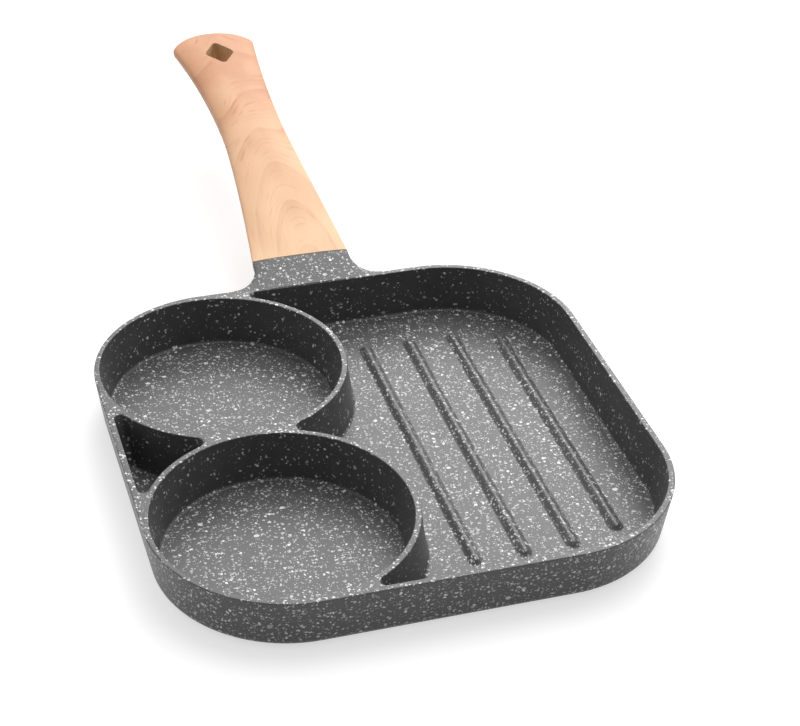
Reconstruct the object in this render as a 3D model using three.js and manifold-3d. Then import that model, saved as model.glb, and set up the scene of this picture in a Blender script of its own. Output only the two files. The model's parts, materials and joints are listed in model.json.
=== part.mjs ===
// Three-section egg pan. One aluminium casting holds two round egg wells, a small pocket and
// a ribbed griddle. An arched wooden handle slips over the tang of the casting, and one screw
// from below holds it. Millimetres, +Z up, +Y towards the handle, origin under the base pad.
import * as THREE from "three";
import { mergeVertices } from "three/addons/utils/BufferGeometryUtils.js";
import Module from "manifold-3d";

// Pan, measured at the rim
const PAN_WIDTH = 190;
const PAN_DEPTH = 190;
const PAN_HEIGHT = 21.8;
const CORNER_RADIUS = 50;
const RIM_WALL = 2.4;
const RIM_ROUND = 0.8;
const WALL_DRAFT = THREE.MathUtils.degToRad(8);
const BASE_FILLET = 4;
const PAD_RADIUS = 76;
const PAD_HEIGHT = 0.6;
const FLOOR_THICKNESS = 2.4;
const FLOOR_FILLET = 2.2;

// Egg wells, one behind the other on the left, filling the depth of the pan
const WELL_DIVIDER = 2;
const WELL_SETBACK = 0.6;
const WELL_WALL = 2.2;
const TIP_FILLET = 2.2;
const WEB_FILLET = 3;

// Griddle ribs
const RIB_COUNT = 4;
const RIB_PITCH = 18.1;
const RIB_SHIFT = 2.9;
const RIB_END_GAP = 22;
const LAST_RIB_END_GAP = 27;
const RIB_WIDTH = 4;
const RIB_HEIGHT = 1.6;
const RIB_SLOPE = 1.3;

// Neck and the joint to the handle, placed by the widest line of the handle's section
const JOINT_REACH = 13;
const JOINT_LIFT = 3.9;
const NECK_FILLET = 11;
const NECK_FOOT = 6;
const TANG_WIDTH = 22;
const TANG_THICKNESS = 6;
const TANG_LENGTH = 38;
const TANG_COVER = 3.2;
const TANG_ROUND = 2;

// Handle, measured along its spine from the joint. The crown is the height of the section
// above its widest line, and the belly is the depth below it.
const HANDLE_LENGTH = 167.5;
const HANDLE_RISE = THREE.MathUtils.degToRad(15.2);
const ARCH_RADIUS = 580;
const WAIST_AT = 82;
const JOINT_WIDTH = 39.6;
const WAIST_WIDTH = 27;
const TAIL_WIDTH = 37.6;
const JOINT_CROWN = 1;
const WAIST_CROWN = 4.5;
const TAIL_CROWN = 3.5;
const JOINT_BELLY = 18.5;
const WAIST_BELLY = 13;
const TAIL_BELLY = 10.5;
const TAIL_BOW = 8.8;
const TAIL_ROUND = 2.5;
const CROWN_SQUARENESS = 3;
const BELLY_SQUARENESS = 2;
const HOLE_FROM_END = 21.6;
const HOLE_WIDTH = 14;
const HOLE_LENGTH = 23;
const HOLE_ROUND = 2.5;

// Handle screw, M5 with its washers
const SCREW_AT = 20;
const SCREW_DIAMETER = 5;
const SCREW_LENGTH = 12;
const HEAD_DIAMETER = 9.5;
const HEAD_HEIGHT = 2.7;
const RECESS_LENGTH = 4.6;
const RECESS_WIDTH = 1.2;
const RECESS_DEPTH = 1.6;
const SPRING_DIAMETER = 9.2;
const SPRING_THICKNESS = 1.2;
const SPRING_SLOT = 1;
const WASHER_DIAMETER = 10;
const WASHER_THICKNESS = 1;
const COUNTERBORE_DIAMETER = 11;
const SEAT_WOOD = 2.2;

// Clearance between touching pieces
const FIT_GAP = 0.3;

// Facets
const CORNER_STEPS = 16;
const RING_STEPS = 24;
const POCKET_STEPS = 10;
const FILLET_STEPS = 5;
const EDGE_STEPS = 3;
const WELL_STEPS = 64;
const SECTION_STEPS = 32;
const HANDLE_STEPS = 22;
const SCREW_STEPS = 28;

// Places that follow from the sizes above
const FLOOR_Z = PAD_HEIGHT + FLOOR_THICKNESS;
const WELL_RADIUS = (PAN_DEPTH / 2 - RIM_WALL - WELL_SETBACK - WELL_DIVIDER / 2) / 2;
const WELL_X = -(PAN_WIDTH / 2 - RIM_WALL - WELL_RADIUS);
const WELL_Y = WELL_RADIUS + WELL_DIVIDER / 2;
const RING_RADIUS = WELL_RADIUS + WELL_WALL;
const GRIDDLE_X = (WELL_X + RING_RADIUS + PAN_WIDTH / 2 - RIM_WALL) / 2;
const JOINT_EDGE = new THREE.Vector3(0, PAN_DEPTH / 2 + JOINT_REACH, PAN_HEIGHT + JOINT_LIFT);
const JOINT_UP = new THREE.Vector3(0, -Math.sin(HANDLE_RISE), Math.cos(HANDLE_RISE));
const TANG_TOP = JOINT_CROWN - TANG_COVER;
const TANG_BOTTOM = TANG_TOP - TANG_THICKNESS;
const SEAT_Z = TANG_BOTTOM - FIT_GAP - SEAT_WOOD;
const WASHER_Z = SEAT_Z - FIT_GAP - WASHER_THICKNESS;
const SPRING_Z = WASHER_Z - FIT_GAP - SPRING_THICKNESS;
const HEAD_Z = SPRING_Z - FIT_GAP;
const SCREW_HOLE = SCREW_DIAMETER / 2 + FIT_GAP;

const wasm = await Module();
wasm.setup();

// Solids

function solid(geometry) {
  const shape = new THREE.BufferGeometry();
  shape.setAttribute("position", geometry.getAttribute("position"));
  shape.setIndex(geometry.getIndex());
  const merged = mergeVertices(shape, 1e-5);
  const vertProperties = new Float32Array(merged.getAttribute("position").array);
  const triVerts = new Uint32Array(merged.getIndex().array);
  return new wasm.Manifold(new wasm.Mesh({ numProp: 3, vertProperties, triVerts }));
}

function surface(manifold) {
  const mesh = manifold.getMesh();
  const geometry = new THREE.BufferGeometry();
  geometry.setAttribute("position", new THREE.BufferAttribute(mesh.vertProperties, 3));
  geometry.setIndex(new THREE.BufferAttribute(mesh.triVerts, 1));
  geometry.computeVertexNormals();
  return geometry;
}

// Skin over rings of equal point count. Seen from the last ring the points run
// counter-clockwise. The cap function gives the triangles that close an end ring.
function loft(rings, cap) {
  const count = rings[0].length;
  const indices = [];
  for (let level = 0; level < rings.length - 1; level += 1) {
    for (let i = 0; i < count; i += 1) {
      const here = level * count + i;
      const next = level * count + ((i + 1) % count);
      indices.push(here, next, next + count);
      indices.push(here, next + count, here + count);
    }
  }
  const last = (rings.length - 1) * count;
  for (const [a, b, c] of cap(rings[0])) {
    indices.push(c, b, a);
  }
  for (const [a, b, c] of cap(rings.at(-1))) {
    indices.push(last + a, last + b, last + c);
  }
  const geometry = new THREE.BufferGeometry();
  geometry.setFromPoints(rings.flat());
  geometry.setIndex(indices);
  return geometry;
}

function planCap(ring) {
  return THREE.ShapeUtils.triangulateShape(ring.map((point) => new THREE.Vector2(point.x, point.y)), []);
}

// Joins each point to the one straight across from it on a symmetrical ring.
function sectionCap(ring) {
  const count = ring.length;
  const half = count / 2;
  const triangles = [[0, 1, count - 1], [half - 1, half, half + 1]];
  for (let i = 1; i < half - 1; i += 1) {
    triangles.push([i, i + 1, count - i - 1]);
    triangles.push([i, count - i - 1, count - i]);
  }
  return triangles;
}

function revolve(profile, steps) {
  return new THREE.LatheGeometry(profile, steps).rotateX(Math.PI / 2);
}

function arc(x, y, radius, from, to, steps) {
  const points = [];
  for (let i = 0; i <= steps; i += 1) {
    const angle = THREE.MathUtils.lerp(from, to, i / steps);
    points.push(new THREE.Vector2(x + radius * Math.cos(angle), y + radius * Math.sin(angle)));
  }
  return points;
}

// Profiles of drafted walls, as points of outset from the rim line and height

function roundedFoot(bottom, radius, steps) {
  const centreZ = bottom + radius;
  const wallZ = centreZ - radius * Math.sin(WALL_DRAFT);
  const wallOut = -(PAN_HEIGHT - wallZ) * Math.tan(WALL_DRAFT);
  const centreOut = wallOut - radius * Math.cos(WALL_DRAFT);
  return arc(centreOut, centreZ, radius, -Math.PI / 2, -WALL_DRAFT, steps);
}

function outerProfile() {
  const centreZ = PAN_HEIGHT - RIM_ROUND;
  const wallZ = centreZ - RIM_ROUND * Math.sin(WALL_DRAFT);
  const wallOut = -(PAN_HEIGHT - wallZ) * Math.tan(WALL_DRAFT);
  const centreOut = wallOut - RIM_ROUND * Math.cos(WALL_DRAFT);
  return [
    ...roundedFoot(PAD_HEIGHT, BASE_FILLET, FILLET_STEPS),
    ...arc(centreOut, centreZ, RIM_ROUND, -WALL_DRAFT, Math.PI / 2, EDGE_STEPS),
  ];
}

// A hollow's walls end in a bell mouth, which leaves the rim rounded, and run on above it.
function hollowProfile() {
  const centreZ = PAN_HEIGHT - RIM_ROUND;
  const wallZ = centreZ + RIM_ROUND * Math.sin(WALL_DRAFT);
  const wallOut = -(PAN_HEIGHT - wallZ) * Math.tan(WALL_DRAFT);
  const centreOut = wallOut + RIM_ROUND * Math.cos(WALL_DRAFT);
  const mouth = arc(centreOut, centreZ, RIM_ROUND, Math.PI - WALL_DRAFT, Math.PI / 2, EDGE_STEPS);
  return [
    ...roundedFoot(FLOOR_Z, FLOOR_FILLET, EDGE_STEPS),
    ...mouth,
    new THREE.Vector2(centreOut, PAN_HEIGHT + JOINT_LIFT),
  ];
}

function loftOutline(outline, profile) {
  const rings = profile.map((step) =>
    outline(-step.x).map((point) => new THREE.Vector3(point.x, point.y, step.y)));
  return loft(rings, planCap);
}

// Plan outlines, each moved inwards by an inset

function panOutline(inset) {
  const x = PAN_WIDTH / 2 - CORNER_RADIUS;
  const y = PAN_DEPTH / 2 - CORNER_RADIUS;
  const radius = CORNER_RADIUS - inset;
  const quarter = Math.PI / 2;
  return [
    ...arc(x, -y, radius, -quarter, 0, CORNER_STEPS),
    ...arc(x, y, radius, 0, quarter, CORNER_STEPS),
    ...arc(-x, y, radius, quarter, 2 * quarter, CORNER_STEPS),
    ...arc(-x, -y, radius, 2 * quarter, 3 * quarter, CORNER_STEPS),
  ];
}

// The griddle runs round the right of both wells. Small fillets close its two tips, between
// a well and the pan wall, and its web, between the wells.
function griddleOutline(inset) {
  const cornerX = PAN_WIDTH / 2 - CORNER_RADIUS;
  const cornerY = PAN_DEPTH / 2 - CORNER_RADIUS;
  const corner = CORNER_RADIUS - RIM_WALL - inset;
  const ring = RING_RADIUS + inset;
  const tipY = PAN_DEPTH / 2 - RIM_WALL - inset - TIP_FILLET;
  const tipX = WELL_X + Math.sqrt((ring + TIP_FILLET) ** 2 - (tipY - WELL_Y) ** 2);
  const webX = WELL_X + Math.sqrt((ring + WEB_FILLET) ** 2 - WELL_Y ** 2);
  const tipAngle = Math.atan2(tipY - WELL_Y, tipX - WELL_X);
  const webAngle = Math.atan2(-WELL_Y, webX - WELL_X);
  const quarter = Math.PI / 2;
  return [
    ...arc(cornerX, -cornerY, corner, -quarter, 0, CORNER_STEPS),
    ...arc(cornerX, cornerY, corner, 0, quarter, CORNER_STEPS),
    ...arc(tipX, tipY, TIP_FILLET, quarter, Math.PI + tipAngle, FILLET_STEPS).slice(0, -1),
    ...arc(WELL_X, WELL_Y, ring, tipAngle, webAngle, RING_STEPS),
    ...arc(webX, 0, WEB_FILLET, Math.PI + webAngle, Math.PI - webAngle, FILLET_STEPS).slice(1, -1),
    ...arc(WELL_X, -WELL_Y, ring, -webAngle, -tipAngle, RING_STEPS),
    ...arc(tipX, -tipY, TIP_FILLET, Math.PI - tipAngle, 3 * quarter, FILLET_STEPS).slice(1),
  ];
}

// The pocket lies between the left wall and both wells.
function pocketOutline(inset) {
  const ring = RING_RADIUS + inset;
  const tipX = -(PAN_WIDTH / 2 - RIM_WALL - inset - TIP_FILLET);
  const tipY = WELL_Y - Math.sqrt((ring + TIP_FILLET) ** 2 - (tipX - WELL_X) ** 2);
  const webX = WELL_X - Math.sqrt((ring + WEB_FILLET) ** 2 - WELL_Y ** 2);
  const tipAngle = Math.atan2(WELL_Y - tipY, WELL_X - tipX);
  const webAngle = Math.atan2(WELL_Y, WELL_X - webX);
  return [
    ...arc(tipX, tipY, TIP_FILLET, tipAngle, Math.PI, FILLET_STEPS).slice(1),
    ...arc(tipX, -tipY, TIP_FILLET, Math.PI, 2 * Math.PI - tipAngle, FILLET_STEPS).slice(0, -1),
    ...arc(WELL_X, -WELL_Y, ring, Math.PI - tipAngle, Math.PI - webAngle, POCKET_STEPS),
    ...arc(webX, 0, WEB_FILLET, -webAngle, webAngle, FILLET_STEPS).slice(1, -1),
    ...arc(WELL_X, WELL_Y, ring, Math.PI + webAngle, Math.PI + tipAngle, POCKET_STEPS),
  ];
}

// Casting

function wellHollow(side) {
  const profile = hollowProfile().map((step) => new THREE.Vector2(WELL_RADIUS + step.x, step.y));
  const bottom = new THREE.Vector2(0, profile[0].y);
  const top = new THREE.Vector2(0, profile.at(-1).y);
  return revolve([bottom, ...profile, top], WELL_STEPS).translate(WELL_X, side * WELL_Y, 0);
}

// The rib beside the wall is shorter, to clear the rounded corners.
function rib(index) {
  const endGap = index < RIB_COUNT - 1 ? RIB_END_GAP : LAST_RIB_END_GAP;
  const reach = PAN_DEPTH / 2 - RIM_WALL - endGap - RIB_WIDTH / 2;
  const x = GRIDDLE_X - RIB_SHIFT + (index - (RIB_COUNT - 1) / 2) * RIB_PITCH;
  const outline = (inset) => [
    ...arc(0, reach, RIB_WIDTH / 2 - inset, 0, Math.PI, FILLET_STEPS),
    ...arc(0, -reach, RIB_WIDTH / 2 - inset, Math.PI, 2 * Math.PI, FILLET_STEPS),
  ];
  const flank = arc(0, 0, 1, 0, Math.PI / 2, EDGE_STEPS).map((point) =>
    new THREE.Vector2((point.x - 1) * RIB_SLOPE, FLOOR_Z + point.y * RIB_HEIGHT));
  const sunk = new THREE.Vector2(0, FLOOR_Z - FLOOR_THICKNESS / 2);
  return loftOutline(outline, [sunk, ...flank]).translate(x, 0, 0);
}

// Section with a flat crown and a round belly, through three points on its middle plane
function section(halfWidth, top, edge, bottom) {
  const crown = top.clone().sub(edge);
  const belly = bottom.clone().sub(edge);
  const points = [];
  for (let i = 0; i < SECTION_STEPS; i += 1) {
    const angle = (2 * Math.PI * i) / SECTION_STEPS;
    const across = Math.cos(angle);
    const down = Math.sin(angle);
    const power = down > 0 ? BELLY_SQUARENESS : CROWN_SQUARENESS;
    const reach = (Math.abs(across) ** power + Math.abs(down) ** power) ** (-1 / power);
    const point = edge.clone().addScaledVector(down > 0 ? belly : crown, Math.abs(down) * reach);
    point.x += halfWidth * across * reach;
    points.push(point);
  }
  return points;
}

// The neck runs from the rim to the handle's section and flares into the pan wall by a fillet.
function neck() {
  const rootY = PAN_DEPTH / 2 - RIM_WALL;
  const rootTop = new THREE.Vector3(0, rootY, PAN_HEIGHT);
  const rootEdge = new THREE.Vector3(0, rootY, PAN_HEIGHT - JOINT_CROWN);
  const rootBottom = new THREE.Vector3(0, rootY, NECK_FOOT);
  const jointTop = JOINT_EDGE.clone().addScaledVector(JOINT_UP, JOINT_CROWN);
  const jointBottom = JOINT_EDGE.clone().addScaledVector(JOINT_UP, -JOINT_BELLY);
  const fillet = Math.min(NECK_FILLET, JOINT_REACH);
  const rings = [];
  const addRing = (outwards, widening) => {
    const share = (outwards + RIM_WALL) / (JOINT_REACH + RIM_WALL);
    const top = rootTop.clone().lerp(jointTop, share);
    const edge = rootEdge.clone().lerp(JOINT_EDGE, share);
    const bottom = rootBottom.clone().lerp(jointBottom, share);
    rings.push(section(JOINT_WIDTH / 2 + widening, top, edge, bottom));
  };
  addRing(-2 * RIM_WALL, fillet);
  for (const step of arc(fillet, 0, fillet, Math.PI, Math.PI / 2, FILLET_STEPS + 1)) {
    addRing(step.x, fillet - step.y);
  }
  addRing(JOINT_REACH, 0);
  return loft(rings, sectionCap);
}

function bar(width, thickness, round, from, to) {
  const x = width / 2 - round;
  const y = thickness / 2 - round;
  const outline = new THREE.Shape();
  outline.absarc(x, y, round, 0, Math.PI / 2);
  outline.absarc(-x, y, round, Math.PI / 2, Math.PI);
  outline.absarc(-x, -y, round, Math.PI, 1.5 * Math.PI);
  outline.absarc(x, -y, round, 1.5 * Math.PI, 2 * Math.PI);
  const options = { depth: to - from, bevelEnabled: false, curveSegments: FILLET_STEPS };
  const straight = new THREE.ExtrudeGeometry(outline, options);
  const centreZ = (TANG_TOP + TANG_BOTTOM) / 2;
  return straight.rotateX(Math.PI / 2).translate(0, to, centreZ);
}

function cylinder(radius, from, to) {
  const shape = new THREE.CylinderGeometry(radius, radius, to - from, SCREW_STEPS);
  return shape.rotateX(Math.PI / 2).translate(0, SCREW_AT, (from + to) / 2);
}

function jointPlace() {
  return new THREE.Matrix4().makeRotationX(HANDLE_RISE).setPosition(JOINT_EDGE);
}

function panBody() {
  const pad = new THREE.CylinderGeometry(PAD_RADIUS, PAD_RADIUS, FLOOR_Z, WELL_STEPS);
  const block = loftOutline(panOutline, outerProfile());
  const tang = bar(TANG_WIDTH, TANG_THICKNESS, TANG_ROUND, -JOINT_REACH / 2, TANG_LENGTH);
  const tangHole = cylinder(SCREW_HOLE, TANG_BOTTOM - FIT_GAP, TANG_TOP + FIT_GAP);
  let casting = solid(block)
    .add(solid(pad.rotateX(Math.PI / 2).translate(0, 0, FLOOR_Z / 2)))
    .add(solid(neck()))
    .add(solid(tang.applyMatrix4(jointPlace())))
    .subtract(solid(tangHole.applyMatrix4(jointPlace())))
    .subtract(solid(loftOutline(griddleOutline, hollowProfile())))
    .subtract(solid(loftOutline(pocketOutline, hollowProfile())))
    .subtract(solid(wellHollow(1)))
    .subtract(solid(wellHollow(-1)));
  for (let i = 0; i < RIB_COUNT; i += 1) {
    casting = casting.add(solid(rib(i)));
  }
  return surface(casting);
}

// Handle, in its own frame: origin at the joint, +Y along the start of the spine

function spinePlace(along) {
  const turn = along / ARCH_RADIUS;
  const y = ARCH_RADIUS * Math.sin(turn);
  const z = -ARCH_RADIUS * (1 - Math.cos(turn));
  return new THREE.Matrix4().makeRotationX(-turn).setPosition(0, y, z);
}

// Blends a size from the joint through the waist to the tail.
function alongHandle(along, joint, waist, tail) {
  const before = Math.max(0, (WAIST_AT - along) / WAIST_AT);
  const after = Math.max(0, (along - WAIST_AT) / (HANDLE_LENGTH - TAIL_BOW - WAIST_AT));
  return waist + (joint - waist) * before ** 1.35 + (tail - waist) * after ** 2;
}

// One ring of the handle. Bow runs from 0, a flat section, to 1, the curved tail end.
function handleRing(along, bow, inset) {
  const halfWidth = alongHandle(along, JOINT_WIDTH, WAIST_WIDTH, TAIL_WIDTH) / 2 - inset;
  const crown = alongHandle(along, JOINT_CROWN, WAIST_CROWN, TAIL_CROWN) - inset;
  const belly = alongHandle(along, JOINT_BELLY, WAIST_BELLY, TAIL_BELLY) - inset;
  const top = new THREE.Vector3(0, 0, crown);
  const bottom = new THREE.Vector3(0, 0, -belly);
  return section(halfWidth, top, new THREE.Vector3(), bottom).map((point) => {
    const further = bow * TAIL_BOW * (1 - (point.x / halfWidth) ** 2);
    return point.applyMatrix4(spinePlace(along + further));
  });
}

function handleBlank() {
  const roundAt = HANDLE_LENGTH - TAIL_BOW - TAIL_ROUND;
  const rings = [];
  for (let i = 0; i <= HANDLE_STEPS; i += 1) {
    const along = THREE.MathUtils.lerp(FIT_GAP, roundAt, i / HANDLE_STEPS);
    const bow = THREE.MathUtils.smoothstep(along, WAIST_AT, roundAt);
    rings.push(handleRing(along, bow, 0));
  }
  for (const step of arc(roundAt, TAIL_ROUND, TAIL_ROUND, -Math.PI / 2, 0, EDGE_STEPS).slice(1)) {
    rings.push(handleRing(step.x, 1, step.y));
  }
  return loft(rings, sectionCap);
}

function hangingHole() {
  const x = HOLE_WIDTH / 2;
  const y = HOLE_LENGTH / 2;
  const corners = [[x, 0], [0, y], [-x, 0], [0, -y]].map(([px, py]) => new THREE.Vector2(px, py));
  const outline = new THREE.Shape();
  corners.forEach((corner, i) => {
    const next = corners[(i + 1) % corners.length];
    const share = HOLE_ROUND / corner.distanceTo(next);
    const start = corner.clone().lerp(corners.at(i - 1), share);
    const end = corner.clone().lerp(next, share);
    if (i === 0) {
      outline.moveTo(start.x, start.y);
    } else {
      outline.lineTo(start.x, start.y);
    }
    outline.quadraticCurveTo(corner.x, corner.y, end.x, end.y);
  });
  const depth = 2 * (TAIL_CROWN + TAIL_BELLY);
  const options = { depth, bevelEnabled: false, curveSegments: EDGE_STEPS };
  const hole = new THREE.ExtrudeGeometry(outline, options).translate(0, 0, -depth / 2);
  return hole.applyMatrix4(spinePlace(HANDLE_LENGTH - HOLE_FROM_END));
}

function handle() {
  const mortise = bar(
    TANG_WIDTH + 2 * FIT_GAP,
    TANG_THICKNESS + 2 * FIT_GAP,
    TANG_ROUND + FIT_GAP,
    -FIT_GAP,
    TANG_LENGTH + FIT_GAP,
  );
  const counterbore = cylinder(COUNTERBORE_DIAMETER / 2, -2 * JOINT_BELLY, SEAT_Z);
  const screwHole = cylinder(SCREW_HOLE, SEAT_Z - FIT_GAP, HEAD_Z + SCREW_LENGTH + FIT_GAP);
  const wood = solid(handleBlank())
    .subtract(solid(mortise))
    .subtract(solid(counterbore))
    .subtract(solid(screwHole))
    .subtract(solid(hangingHole()));
  return surface(wood);
}

// Fastener, upright at the screw's place in the handle's frame

function screw() {
  const shank = SCREW_DIAMETER / 2;
  const tip = HEAD_Z + SCREW_LENGTH;
  const dome = arc(0, 0, 1, -Math.PI / 2, 0, FILLET_STEPS).map((point) =>
    new THREE.Vector2(point.x * HEAD_DIAMETER / 2, HEAD_Z - FIT_GAP + point.y * (HEAD_HEIGHT - FIT_GAP)));
  const profile = [
    ...dome,
    new THREE.Vector2(HEAD_DIAMETER / 2, HEAD_Z),
    new THREE.Vector2(shank, HEAD_Z),
    new THREE.Vector2(shank, tip - FIT_GAP),
    new THREE.Vector2(shank - FIT_GAP, tip),
    new THREE.Vector2(0, tip),
  ];
  const recessZ = HEAD_Z - HEAD_HEIGHT;
  const slot = new THREE.BoxGeometry(RECESS_LENGTH, RECESS_WIDTH, 2 * RECESS_DEPTH).translate(0, 0, recessZ);
  const body = solid(revolve(profile, SCREW_STEPS))
    .subtract(solid(slot))
    .subtract(solid(slot.clone().rotateZ(Math.PI / 2)));
  return surface(body).translate(0, SCREW_AT, 0);
}

function ring(diameter, thickness, bottom) {
  const inner = SCREW_HOLE;
  const outer = diameter / 2;
  const corners = [[inner, 0], [outer, 0], [outer, thickness], [inner, thickness], [inner, 0]];
  return revolve(corners.map(([radius, height]) => new THREE.Vector2(radius, bottom + height)), SCREW_STEPS);
}

function springWasher() {
  const slot = new THREE.BoxGeometry(SPRING_DIAMETER, SPRING_SLOT, 4 * SPRING_THICKNESS);
  slot.rotateX(Math.PI / 9).translate(SPRING_DIAMETER / 2, 0, SPRING_Z + SPRING_THICKNESS / 2);
  const split = solid(ring(SPRING_DIAMETER, SPRING_THICKNESS, SPRING_Z)).subtract(solid(slot));
  return surface(split).translate(0, SCREW_AT, 0);
}

function flatWasher() {
  return surface(solid(ring(WASHER_DIAMETER, WASHER_THICKNESS, WASHER_Z))).translate(0, SCREW_AT, 0);
}

// Materials

function coatedAluminium() {
  return new THREE.MeshStandardMaterial({ color: 0x4a4b4e, metalness: 0, roughness: 0.55 });
}

function paleWood() {
  return new THREE.MeshStandardMaterial({ color: 0xeec59c, metalness: 0, roughness: 0.6 });
}

function platedSteel() {
  return new THREE.MeshStandardMaterial({ color: 0xb9bcc0, metalness: 1, roughness: 0.35 });
}

// Assembly

function piece(name, geometry, material) {
  const mesh = new THREE.Mesh(geometry, material);
  mesh.name = name;
  return mesh;
}

function handleSet() {
  const group = new THREE.Group();
  group.name = "handle_set";
  group.position.copy(JOINT_EDGE);
  group.rotation.x = HANDLE_RISE;
  group.add(piece("handle", handle(), paleWood()));
  group.add(piece("handle_screw", screw(), platedSteel()));
  group.add(piece("spring_washer", springWasher(), platedSteel()));
  group.add(piece("flat_washer", flatWasher(), platedSteel()));
  return group;
}

function eggPan() {
  const group = new THREE.Group();
  group.name = "egg_pan";
  group.add(piece("pan_body", panBody(), coatedAluminium()));
  group.add(handleSet());
  return group;
}

export default eggPan();
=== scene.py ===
import json
import math
from collections import namedtuple

import bmesh
import bpy
from mathutils import Matrix, Vector

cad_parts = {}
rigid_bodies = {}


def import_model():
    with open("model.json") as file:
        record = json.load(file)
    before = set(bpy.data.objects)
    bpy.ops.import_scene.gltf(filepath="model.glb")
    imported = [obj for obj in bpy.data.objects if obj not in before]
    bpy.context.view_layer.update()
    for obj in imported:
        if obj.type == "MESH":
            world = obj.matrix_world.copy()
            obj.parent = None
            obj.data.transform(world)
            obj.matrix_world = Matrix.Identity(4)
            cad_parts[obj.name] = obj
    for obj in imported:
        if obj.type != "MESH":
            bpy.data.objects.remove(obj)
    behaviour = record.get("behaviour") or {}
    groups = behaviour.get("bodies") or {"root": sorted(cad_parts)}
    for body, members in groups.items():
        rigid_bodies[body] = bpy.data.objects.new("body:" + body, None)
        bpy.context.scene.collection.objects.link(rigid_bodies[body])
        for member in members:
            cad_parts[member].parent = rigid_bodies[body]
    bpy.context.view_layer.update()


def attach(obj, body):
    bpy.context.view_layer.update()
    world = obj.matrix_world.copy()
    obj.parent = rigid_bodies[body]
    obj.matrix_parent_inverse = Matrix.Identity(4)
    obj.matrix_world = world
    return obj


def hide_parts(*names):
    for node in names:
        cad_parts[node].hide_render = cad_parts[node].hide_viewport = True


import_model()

MM = 0.001
TOUCH = 0.001 * MM

# Pan casting, at the rim where nothing else is said, eased inwards to stay within the solids
PAN_WIDTH = 190 * MM
PAN_EASE = 0.1 * MM
PAN_TOP = 21.8 * MM
CORNER_RADIUS = 50 * MM
RIM_WALL = 2.4 * MM
RIM_ROUND = 0.35 * MM
WALL_DRAFT = math.radians(8)
BASE_FILLET = 4 * MM
PAD_RADIUS = 76 * MM
PAD_HEIGHT = 0.6 * MM
PAD_EDGE = 0.2 * MM
FLOOR_THICKNESS = 2.4 * MM
FLOOR_FILLET = 1.4 * MM
PAN_HALF = PAN_WIDTH / 2 - PAN_EASE
FLOOR_TOP = PAD_HEIGHT + FLOOR_THICKNESS

# Egg wells and the fillets where their rings meet the pan wall and each other
WELL_SETBACK = 0.6 * MM
WELL_DIVIDER = 2 * MM
WELL_WALL = 2.2 * MM
TIP_FILLET = 2.2 * MM
WEB_FILLET = 3 * MM
WELL_RADIUS = (PAN_WIDTH / 2 - RIM_WALL - WELL_SETBACK - WELL_DIVIDER / 2) / 2
WELL_X = RIM_WALL + WELL_RADIUS - PAN_WIDTH / 2
WELL_Y = WELL_RADIUS + WELL_DIVIDER / 2
RING_RADIUS = WELL_RADIUS + WELL_WALL

# Griddle ribs, shifted from the middle of the griddle towards the wells
RIB_COUNT = 4
RIB_PITCH = 18.1 * MM
RIB_SHIFT = 2.9 * MM
RIB_END_GAP = 22 * MM
LAST_RIB_END_GAP = 27 * MM
RIB_HALF_WIDTH = 3.1 * MM
RIB_HEIGHT = 1.6 * MM
RIB_SLOPE = 2.9 * MM
GRIDDLE_X = (WELL_X + RING_RADIUS + PAN_WIDTH / 2 - RIM_WALL) / 2
FIRST_RIB_X = GRIDDLE_X - RIB_SHIFT - RIB_PITCH * (RIB_COUNT - 1) / 2

# Turned rings under the base pad
TURN_PITCH = 8 * MM
TURN_DEPTH = 0.12 * MM
TURN_HALF_WIDTH = 2.4 * MM

# Neck and the joint to the handle
NECK_REACH = 13 * MM
NECK_FILLET = 11 * MM
NECK_FOOT = 6 * MM
NECK_ROOT = 2 * MM
NECK_STEP = 0.25 * MM
JOINT_LIFT = 3.9 * MM
JOINT_GAP = 0.3 * MM
JOINT = Vector((0, PAN_WIDTH / 2 + NECK_REACH, PAN_TOP + JOINT_LIFT))
RISE = math.radians(15.2)

# Handle, along its spine: sizes at the joint, the waist and the tail
HANDLE_LENGTH = 167.4 * MM
ARCH_RADIUS = 580 * MM
WAIST_AT = 82 * MM
HALF_WIDTHS = (19.8 * MM, 13.5 * MM, 18.8 * MM)
CROWNS = (1 * MM, 4.5 * MM, 3.5 * MM)
BELLIES = (18.5 * MM, 13 * MM, 10.5 * MM)
JOINT_FLARE = 1.35
TAIL_FLARE = 2
CROWN_CORNER = 0.95
TAIL_BOW = 8.8 * MM
TAIL_OVERREACH = 1.3
HOLE_FROM_END = 21.6 * MM
HOLE_HALF = Vector((7, 11.5)) * MM
HOLE_ROUND = 2.5 * MM
HOLE_REACH = 0.75 * HOLE_FROM_END
EDGE_ROUND = 0.6 * MM
CRISP_EDGE = math.radians(45)
UPRIGHT = 0.5

# Tang of the casting, from its root in the neck to inside the handle
TANG_ROOT = 6.5 * MM
TANG_LENGTH = 38 * MM
TANG_WIDTH = 22 * MM
TANG_THICKNESS = 6 * MM
TANG_COVER = 3.2 * MM
TANG_ROUND = 2 * MM
TANG_TOP = CROWNS[0] - TANG_COVER
TANG = Vector((TANG_WIDTH, TANG_ROOT + TANG_LENGTH, TANG_THICKNESS))

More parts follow.
